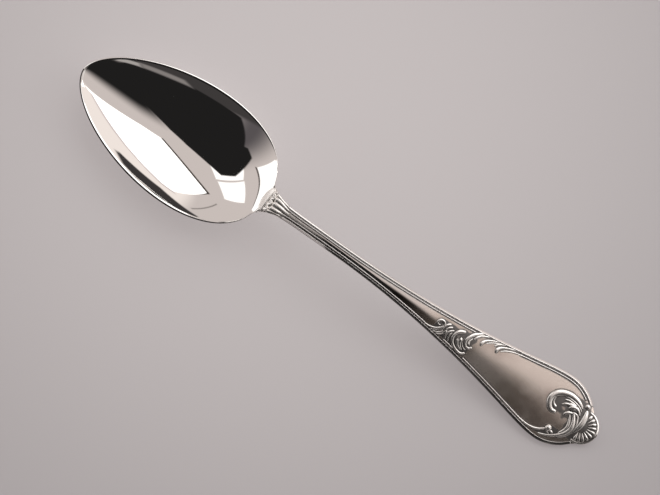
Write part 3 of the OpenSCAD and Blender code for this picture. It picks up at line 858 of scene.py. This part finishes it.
VOLUTE = [
    [[64, -2.75, 0.45], [65.6, -2.7, 0.5], [67, -2.35, 0.55], [68.1, -1.8, 0.6], [69.1, -1, 0.65],
     [69.75, 0, 0.7], [69.6, 0.8, 0.8], [68.9, 1.25, 0.95], [68, 1.15, 0.95], [67.4, 0.5, 0.8],
     [67.5, -0.3, 0.65], [68.2, -0.5, 0.5], [68.6, -0.1, 0.45]],
    [[66.6, -3.15, 0.35], [67.9, -2.6, 0.5], [69, -1.9, 0.5], [69.7, -1.1, 0.35]],
    [[67.6, -3.3, 0.35], [69, -2.8, 0.5], [69.9, -2.1, 0.5], [70.4, -1.2, 0.35]],
    [[68.8, -3.4, 0.35], [70, -2.9, 0.5], [70.7, -2.1, 0.5], [71, -1.1, 0.35]],
    bed([[66.8, -2.9, 0.6], [68.6, -1.6, 2], [69.4, -0.4, 2.2], [68.6, 0.3, 2]]),
]
FAN = [
    [[70, -1.2, 0.4], [70, 0, 0.6], [70.4, 0.9, 0.8], [71.2, 1.7, 0.75], [71.6, 2, 0.4]],
    [[70.9, -1.3, 0.4], [71.1, -0.2, 0.6], [71.5, 0.6, 0.75], [72.3, 1.2, 0.65], [72.6, 1.4, 0.35]],
    [[72.4, -3.1, 0.35], [71.9, -2, 0.55], [72, -0.8, 0.65], [72.5, 0, 0.7], [73.2, 0.6, 0.6],
     [73.5, 0.9, 0.35]],
    [[73.6, -3.3, 0.35], [73, -2.2, 0.55], [72.9, -1, 0.6], [73.3, 0, 0.45]],
    bed([[70.2, -2.6, 1.2], [71, -1, 2.4], [71.8, 0.2, 1.8]]),
]
C_SCROLL = [
    [[77, 2.6, 0.7], [76.3, 2.4, 1.15], [75.3, 1.8, 1.3], [74.5, 0.9, 1.15], [74.15, -0.3, 1],
     [74.3, -1.5, 0.95], [75, -2.6, 0.9], [76.2, -3.4, 0.85], [77.6, -3.85, 0.8], [78.9, -3.95, 0.8],
     [79.8, -3.6, 0.8], [80.3, -2.9, 0.7]],
    [[76.4, 0.5, 0.5], [76.8, -0.3, 1.1], [77.1, -1.3, 0.85], [77.9, -2.3, 0.6], [79, -2.9, 0.4]],
    [[75.6, 0.4, 0.35], [75.5, -0.8, 0.5], [75.9, -1.9, 0.5], [76.8, -2.8, 0.5], [78.2, -3.2, 0.4]],
    bed([[75.4, 0.8, 1.2], [75.6, -1, 2.4], [76.8, -2.4, 2], [78.8, -3.1, 1.4]]),
]
COUNTER_SCROLL = [
    [[83.2, 6.4, 0.35], [81.6, 5.4, 0.8], [80.3, 4.4, 1.05], [79.3, 3.3, 1.15], [78.6, 2, 1.1],
     [78.3, 0.8, 0.95], [78.6, -0.35, 0.85], [79.3, -1.05, 0.8], [80.2, -1.15, 0.75], [80.9, -0.7, 0.8],
     [81.1, -0.15, 1.05]],
    [[79.9, 2.4, 0.35], [79.4, 1.2, 0.5], [79.55, 0.25, 0.5], [80.2, -0.2, 0.4]],
    [[77.6, 0.9, 0.35], [77.5, -0.3, 0.5], [78, -1.3, 0.5], [78.9, -2, 0.5], [80, -2.2, 0.35]],
    bed([[79, 2, 1], [79.2, 0.2, 1.8], [80.2, -0.4, 1.6]]),
]
FRONDS = [
    [[80.3, 2, 0.5], [80.6, 3.2, 0.9], [81.6, 4.5, 0.9], [83.2, 5.5, 0.75], [85.2, 6.3, 0.4]],
    [[83.3, 1.8, 0.8], [83, 2.9, 1.2], [83.7, 4.2, 1], [85.2, 5.3, 0.8], [86.8, 6.1, 0.65],
     [88.6, 6.8, 0.4]],
    [[84.2, 3.5, 0.35], [85.6, 4.7, 0.55], [87.4, 5.8, 0.5], [89, 6.6, 0.35]],
    [[87, 4.4, 0.45], [87.6, 5.4, 0.65], [89, 6.4, 0.6], [91, 7.2, 0.4]],
    [[88.8, 2.9, 0.8], [88.3, 4, 1.25], [89, 5.2, 1.05], [90.7, 6.3, 0.8], [92.6, 7.1, 0.65],
     [95, 7.9, 0.4]],
    [[89.6, 4.1, 0.4], [90.8, 5.2, 0.65], [92.6, 6.2, 0.65], [94.6, 6.9, 0.6], [96.6, 7.3, 0.5]],
]
PLUME_STEM = [
    [[119.8, 1.3, 0.45], [120.7, 0.2, 0.6], [121.3, -0.9, 0.75], [121.8, -2.4, 0.9], [121.7, -3.9, 0.9],
     [121.1, -5.4, 0.8], [120.2, -6.5, 0.45]],
    [[121, 2.3, 0.6], [121.9, 0.9, 0.85], [122.6, -0.3, 1.1], [123, -1.7, 1.25], [123, -3, 1.25],
     [122.5, -4.5, 1.2], [121.6, -5.8, 1.05], [120.3, -7.1, 0.9], [118.7, -8.3, 0.75], [116.8, -9.3, 0.5],
     [115, -9.9, 0.35]],
    [[122.3, 2.8, 0.45], [123.1, 1.3, 0.6], [123.7, -0.1, 0.75], [124, -1.6, 0.7], [123.9, -3.1, 0.7],
     [123.4, -4.7, 0.65], [122.4, -6.1, 0.6], [121, -7.4, 0.4]],
    bed([[121.8, 0.4, 2], [122.7, -2.4, 2.4], [122, -5, 2], [120.2, -7, 1.2]]),
]
PLUME_LEAVES = [
    [[118.7, 2.2, 0.5], [119.3, 3.1, 1], [120.3, 3.7, 1.2], [121.4, 3.7, 1.1], [122.4, 3.1, 0.85],
     [123.1, 2.2, 0.5]],
    [[116.2, 2.1, 0.35], [116.8, 2.9, 0.65], [117.9, 3.5, 0.75], [119, 3.8, 0.5]],
    [[120.2, 1.5, 0.45], [121.1, 2.1, 0.7], [122.1, 2.1, 0.7], [122.9, 1.5, 0.45]],
    [[118.5, -0.4, 0.45], [118.9, 0.6, 0.9], [119.6, 1.3, 0.95], [120.5, 1.7, 0.7], [121.3, 1.6, 0.4]],
    [[115.7, 4.9, 0.4], [117, 5.35, 0.65], [118.8, 5.3, 0.65], [120.6, 5, 0.65], [122, 4.5, 0.55],
     [123, 3.6, 0.4]],
    [[116.1, 4.1, 0.4], [117.6, 4.6, 0.65], [119.4, 4.55, 0.65], [121, 4.4, 0.55], [122.4, 3.8, 0.45]],
    bed([[116.8, 3.8, 1.6], [119, 3.6, 3.2], [121, 3, 3.4], [122, 1.4, 2.4]]),
]
PLUME_SCROLL = [
    [[122.7, 4.6, 0.6], [121.4, 5.5, 1], [119.8, 6.1, 1.25], [118, 6.35, 1.4], [116.4, 6.25, 1.5],
     [114.9, 5.8, 1.5], [113.6, 5.1, 1.5], [112.7, 4.2, 1.45], [112.1, 3.2, 1.4], [111.9, 2.1, 1.35],
     [112.1, 1, 1.3], [112.6, 0, 1.25], [113.4, -0.8, 1.2], [114.4, -1.2, 1.1], [115.3, -1.05, 0.95],
     [115.9, -0.6, 0.6]],
    [[114.8, 4.9, 0.4], [113.8, 4.3, 0.5], [113.2, 3.4, 0.55], [113.1, 2.4, 0.55], [113.4, 1.4, 0.55],
     [114.1, 0.7, 0.65], [114.9, 0.35, 0.9], [115.2, 0.25, 1.1]],
    bed([[114.6, 5.2, 1.4], [113.1, 3.9, 1.8], [112.6, 2.3, 1.8], [113.1, 0.7, 1.8], [114.2, -0.3, 1.6]]),
]
BUD = [
    [[106.6, -9.38, 0.5], [108.6, -9.62, 0.52], [110.6, -9.7, 0.6], [112.2, -9.52, 0.7],
     [113.6, -9.12, 0.75], [114.8, -8.5, 0.8], [115.8, -7.75, 0.85], [116.6, -6.95, 1]],
    [[115.9, -7, 1.4], [116.9, -6.6, 2.2], [117.8, -6.5, 1.9], [118.2, -6.5, 1]],
    [[117.4, -7, 1], [118.5, -7.2, 1.2], [119.4, -7.5, 0.5]],
    [[116.5, -7.7, 0.8], [117.6, -8, 0.9], [118.6, -8.3, 0.4]],
]
SHELL_LIP = [
    [[124.1, 5.5, 0.5], [124.5, 4.5, 0.95], [124.9, 3.2, 1.25], [125.1, 1.8, 1.35], [125.1, 0.3, 1.35],
     [124.9, -1.1, 1.2], [124.6, -2.4, 0.95], [124.2, -3.6, 0.6], [123.7, -4.8, 0.35]],
]


SHELL_RIM_R, SHELL_RIM_W, SHELL_RIM_SINK, SHELL_RIM_N = 5.35, 1.05, 0.1, 30
# Spans round the shell in degrees, and a rib's radius, width and depth sunk
SHELL_RIM_SPAN, RIB_SPAN = (-96, 92), (-84, 78)
RIB_POINTS = [[2, 0.35], [3, 0.75], [4.1, 1.15], [5.1, 1.1, 0.15]]


def on_shell(r, degrees, *rest):
    """A stroke's point from its radius and angle on the shell."""
    turn = math.radians(degrees)
    return [SHELL_AT + r * math.cos(turn), r * math.sin(turn), *rest]


SHELL_RIM = [[
    on_shell(SHELL_RIM_R, a, SHELL_RIM_W, SHELL_RIM_SINK) for a in np.linspace(*SHELL_RIM_SPAN, SHELL_RIM_N)
]]
SHELL_RIBS = [[on_shell(r, a, *rest) for r, *rest in RIB_POINTS] for a in np.linspace(*RIB_SPAN, RIB_N)]
SHELL_BEAD = [[[BEAD_AT[0] + k * BEAD_R, BEAD_AT[1], BEAD_R * 2, BEAD_SINK] for k in (-1, 0, 1)]]
NEAR_OUTER = thread_strokes(-1, False, [(THREAD_AT, HANDLE_L - 5.2, 200)])
FAR_OUTER = thread_strokes(1, False, [(THREAD_AT, HANDLE_L - 6.4, 200)])
NEAR_INNER = thread_strokes(-1, True, [
    (THREAD_AT, HANDLE_L - 67.4, 70), (HANDLE_L - 59.6, HANDLE_L - 55.4, 6),
    (HANDLE_L - 51, HANDLE_L - 23.6, 40),
])
FAR_INNER = thread_strokes(1, True, [
    (THREAD_AT, HANDLE_L - 52.2, 90), (HANDLE_L - 36.2, HANDLE_L - 8.4, 60),
])


def make_relief():
    # Strokes, section, how much fuller the strokes are made, and finish
    pieces = {
        "near_outer_thread": (NEAR_OUTER, NEAR_EDGE, 1.0, DRAWN),
        "far_outer_thread": (FAR_OUTER, FAR_EDGE, 1.0, DRAWN),
        "near_inner_thread": (NEAR_INNER, ROUND, 1.0, DRAWN),
        "far_inner_thread": (FAR_INNER, ROUND, 1.0, DRAWN),
        "heel_tongue": (HEEL_TONGUE, TONGUE),
        "heel_leaf": (HEEL_LOBES, LOW_ROUND),
        "shoulder_volute": (VOLUTE, ROUND, 1.1),
        "shoulder_fan": (FAN, ROUND, 1.1),
        "shoulder_c_scroll": (C_SCROLL, ROUND, 1.15),
        "shoulder_counter_scroll": (COUNTER_SCROLL, ROUND, 1.15),
        "edge_fronds": (FRONDS, ROUND, 0.95),
        "plume_stem": (PLUME_STEM, ROUND, 1.3),
        "plume_leaves": (PLUME_LEAVES, ROUND, 1.3),
        "plume_scroll": (PLUME_SCROLL, LOW_ROUND, 1.5),
        "thread_bud": (BUD, ROUND, 1.1),
        "shell_ribs": (SHELL_RIBS, ROUND),
        "shell_lip": (SHELL_LIP, LOW_ROUND, 1.5),
        "shell_rim": (SHELL_RIM, LOW_ROUND),
        "shell_bead": (SHELL_BEAD, ROUND),
    }
    made = {}
    for name, (strokes, section, *extra) in pieces.items():
        # The tongue is the first part of the heel leaf
        node = "heel_leaf" if name == "heel_tongue" else name
        made[name] = keep(swept_piece(name, strokes, section, *extra), "relief_silver", node)
    for section in (ROUND, LOW_ROUND, TONGUE, NEAR_EDGE, FAR_EDGE):
        bpy.data.objects.remove(section)
    return made


keep(make_bowl(), "polished_silver", "bowl")
spoon_handle = keep(make_handle(), "satin_silver", "handle")
ornament = make_relief()
drawn_threads = [piece for name, piece in ornament.items() if name.endswith("thread")]
mark_wear_and_shade(spoon_handle, list(ornament.values()), drawn_threads, ornament["edge_fronds"])


# Stage: camera at the photograph's angle, pale floor and soft studio light

# Camera fitted to the outline, in millimetres and in pixels of the photograph
TURN, ELEVATION, DISTANCE = math.radians(-35.66), math.radians(86), 650.0
SHIFT_X, SHIFT_Y, FOCAL_PX, IMAGE_W, SENSOR = -3.134, 2.142, 1971.1, 660, 36.0


def place_camera():
    turned = Matrix.Rotation(-TURN, 3, "Z")
    back = turned @ Vector((0, -math.cos(ELEVATION), math.sin(ELEVATION)))
    up = turned @ Vector((0, math.sin(ELEVATION), math.cos(ELEVATION)))
    right = turned @ Vector((1, 0, 0))
    data = bpy.data.cameras.new("camera")
    data.sensor_width, data.lens = SENSOR, FOCAL_PX * SENSOR / IMAGE_W
    data.clip_start, data.clip_end = 0.01, 10
    camera = bpy.data.objects.new("camera", data)
    bpy.context.scene.collection.objects.link(camera)
    spot = (back * DISTANCE + turned @ Vector((SHIFT_X, SHIFT_Y, 0))) * MM
    camera.matrix_world = Matrix.Translation(spot) @ Matrix((right, up, back)).transposed().to_4x4()
    bpy.context.scene.camera = camera


def panel_lamp(name, place, target, size, power):
    data = bpy.data.lights.new(name, "AREA")
    data.size, data.energy = size, power
    lamp = bpy.data.objects.new(name, data)
    bpy.context.scene.collection.objects.link(lamp)
    lamp.location = place
    lamp.rotation_euler = (Vector(target) - Vector(place)).to_track_quat("-Z", "Y").to_euler()


# Floor, its painted pool of light and the lamp, in metres
FLOOR_HALF, FLOOR_COLOUR, FLOOR_ROUGH = 3, (0.8, 0.775, 0.78), 0.7
POOL_AT, POOL_REACH, PALE_SHARE = (-0.052, 0.039), 0.183, 0.6
POOL_PALE, POOL_DIM, BACKDROP = (0.64, 0.58, 0.575), (0.272, 0.246, 0.252), (0.49, 0.46, 0.455)
LAMP_AT, LAMP_TARGET, LAMP_SIZE, LAMP_POWER = (0.229, 0.268, 0.247), (0.05, 0, 0.01), 0.14, 0.14


def make_floor():
    mesh = bpy.data.meshes.new("floor")
    corners = [(x * FLOOR_HALF, y * FLOOR_HALF, 0) for x, y in ((-1, -1), (1, -1), (1, 1), (-1, 1))]
    mesh.from_pydata(corners, [], [(0, 1, 2, 3)])
    floor = bpy.data.objects.new("floor", mesh)
    bpy.context.scene.collection.objects.link(floor)
    material = bpy.data.materials.new("table_top")
    material.use_nodes = True
    w = Wiring(material.node_tree)
    shader = material.node_tree.nodes["Principled BSDF"]
    shader.inputs["Base Color"].default_value = (*FLOOR_COLOUR, 1)
    shader.inputs["Roughness"].default_value = FLOOR_ROUGH
    # The camera and the metal see it paler, with a painted pool of light round one place, and its shadow
    # stays
    away = w.add("ShaderNodeVectorMath", {0: w.place(), 1: (*POOL_AT, 0)}, operation="DISTANCE")
    share = w.math("DIVIDE", away.outputs["Value"], POOL_REACH)
    pool_fade = w.math("TANH", w.math("MULTIPLY", share, share))
    glow = w.add("ShaderNodeEmission", {"Color": w.blend(pool_fade, (*POOL_PALE, 1), (*POOL_DIM, 1))})
    path = w.add("ShaderNodeLightPath").outputs
    seen = w.math("MAXIMUM", path["Is Camera Ray"], path["Is Glossy Ray"])
    seen = w.math("MAXIMUM", seen, path["Is Transmission Ray"])
    both = w.add("ShaderNodeMixShader", {
        0: w.math("MULTIPLY", seen, PALE_SHARE), 1: shader.outputs[0], 2: glow.outputs[0],
    })
    w.feed(material.node_tree.nodes["Material Output"].inputs["Surface"], both.outputs[0])
    mesh.materials.append(material)


def sky(x, y):
    """Direction at x and y degrees from straight up, along the spoon and across it."""
    tilt, turn = math.radians(math.hypot(x, y)), math.atan2(y, x)
    return Vector((math.sin(tilt) * math.cos(turn), math.sin(tilt) * math.sin(turn), math.cos(tilt)))


def sky_patch(w, ray, corners, soft):
    """Mask of a convex patch of the studio between straight edges, soft by some degrees."""
    ways = [sky(*c) for c in corners]
    centre = sum(ways, Vector())
    inside = None
    for a, b in zip(ways, ways[1:] + ways[:1]):
        edge = a.cross(b).normalized()
        edge = edge if edge.dot(centre) > 0 else -edge
        depth = w.add("ShaderNodeVectorMath", {0: ray, 1: edge}, operation="DOT_PRODUCT").outputs["Value"]
        inside = depth if inside is None else w.math("MINIMUM", inside, depth)
    reach = math.radians(soft)
    return w.add("ShaderNodeMapRange", {
        "Value": inside, "From Min": -reach, "From Max": reach, "To Min": 0.0, "To Max": 1.0,
    }, interpolation_type="SMOOTHSTEP").outputs[0]


WALL, CLOTH = (0.62, 0.56, 0.54), (0.014, 0.0135, 0.0135)
WINDOW, FRAME = (1, 0.985, 0.97), (0.07, 0.06, 0.055)
SOFTBOX = (1, 0.99, 0.98), 1.7
STUDIO = [
    # Corners in degrees from straight up, softness, colour and strength, later ones in front
    ([(40, 8), (39, 40), (62, 62), (88, 20), (80, -20), (48, 2)], 4, (1, 0.97, 0.94), 0.85),
    ([(-28, 60), (-26, 38), (32, 33), (80, 40), (60, 110), (-34, 110)], 5, (0.93, 0.85, 0.81), 1.0),
    ([(-44, -22), (-20, -22), (-10, -95), (-50, -95)], 13, (0.1, 0.09, 0.095), 1.0),
    ([(-60, -70), (-20, -70), (35, -54), (60, -80), (0, -110), (-60, -95)], 2.5, (0.05, 0.046, 0.046), 1.0),
    ([(-40, 77.5), (-12, 78.5), (10.5, 79), (12, 81.5), (6.5, 88.5), (-13, 91), (-29, 90), (-40, 83.5)],
     1.0, (0.045, 0.04, 0.04), 1.0),
    ([(-46.8, 46.5), (-45.8, 46.5), (-32.5, 74), (-33.5, 74)], 0.6, (0.2, 0.18, 0.17), 1.0),
    ([(-67, 22.5), (-49.5, 34), (-38, 20.3), (-55, 0.8)], 0.7, WINDOW, 1.3),
    ([(-53.5, -0.3), (-36, 19), (-24.5, 5), (-47.5, -14)], 0.7, WINDOW, 1.3),
    ([(-82.5, 24), (-80.5, 23.5), (-54.7, -22), (-56.7, -22.6)], 0.4, (0.11, 0.09, 0.085), 1.0),
    ([(-95, 30), (-81.5, 24), (-56.8, -22.5), (-68, -44), (-95, -46)], 0.7, WINDOW, 1.3),
    ([(-48.3, -30), (-46.8, 1.5), (-37.5, 10.8), (-8, 3.8), (-28, -36), (-41, -39)], 0.8, CLOTH, 1.0),
    ([(-40, -30), (-37.5, 10.8), (-8, 3.6), (2.3, -0.1), (11.4, -6), (20, -13), (33, -36), (28, -62),
      (8, -71.5), (-25, -70)], 0.8, CLOTH, 1.0),
    ([(4, -20), (9, -1), (18, 3), (30, 4), (60, 8), (75, -20), (50, -60), (10, -50)], 9, CLOTH, 1.0),
    ([(33, -52.4), (23.6, -61), (25, -66), (34, -60)], 1.0, (0.4, 0.375, 0.365), 1.0),
    ([(23.6, -61), (4, -71.2), (8, -75), (25, -67)], 1.5, (0.24, 0.22, 0.215), 1.0),
    ([(-38.1, 40.9), (-36.5, 42.7), (3.1, 18.7), (2.3, 17.2)], 0.3, FRAME, 1.0),
    ([(-38.1, 41.1), (-30.5, 52.5), (-29, 52), (-35.5, 41.7)], 0.3, FRAME, 1.0),
    ([(-20, 72), (-10.8, 73.6), (0, 70.8), (11.5, 64.8), (18.5, 58.3), (23.3, 51.7), (27, 44.2),
      (30.3, 36.3), (12, 30)], 0.8, (0.62, 0.54, 0.54), 1.0),
    ([(-35.8, 42.5), (-18, 70.8), (-10.8, 72), (0, 69.2), (10.9, 63.4), (12.4, 21.2), (3.3, 18.6)],
     0.4, *SOFTBOX),
    ([(0, 69.2), (10.9, 63.4), (17.5, 57), (22.3, 50.6), (26, 43.5), (29.3, 36), (26.7, 29.8),
      (19.6, 25.2), (12.4, 21.2)], 0.4, *SOFTBOX),
    ([(29.3, 36), (34.5, 34.6), (26.7, 29.8), (24, 33)], 0.4, *SOFTBOX),
]


def make_world():
    """A studio painted by direction: walls, dark cloth around the camera, windows and a large softbox."""
    world = bpy.data.worlds.new("studio")
    bpy.context.scene.world = world
    world.use_nodes = True
    w = Wiring(world.node_tree)
    background = world.node_tree.nodes["Background"]
    ray = w.add("ShaderNodeTexCoord").outputs["Generated"]
    colour = (*WALL, 1)
    for corners, soft, paint, strength in STUDIO:
        lit = (*(c * strength for c in paint), 1)
        colour = w.blend(sky_patch(w, ray, corners, soft), colour, lit)
    # The camera itself sees a plain pale wall behind the floor
    seen = w.add("ShaderNodeLightPath").outputs["Is Camera Ray"]
    colour = w.blend(seen, colour, (*BACKDROP, 1))
    w.feed(background.inputs["Color"], colour)


place_camera()
make_floor()
make_world()
panel_lamp("side_light", LAMP_AT, LAMP_TARGET, LAMP_SIZE, LAMP_POWER)
bpy.context.scene.view_settings.view_transform = "Standard"
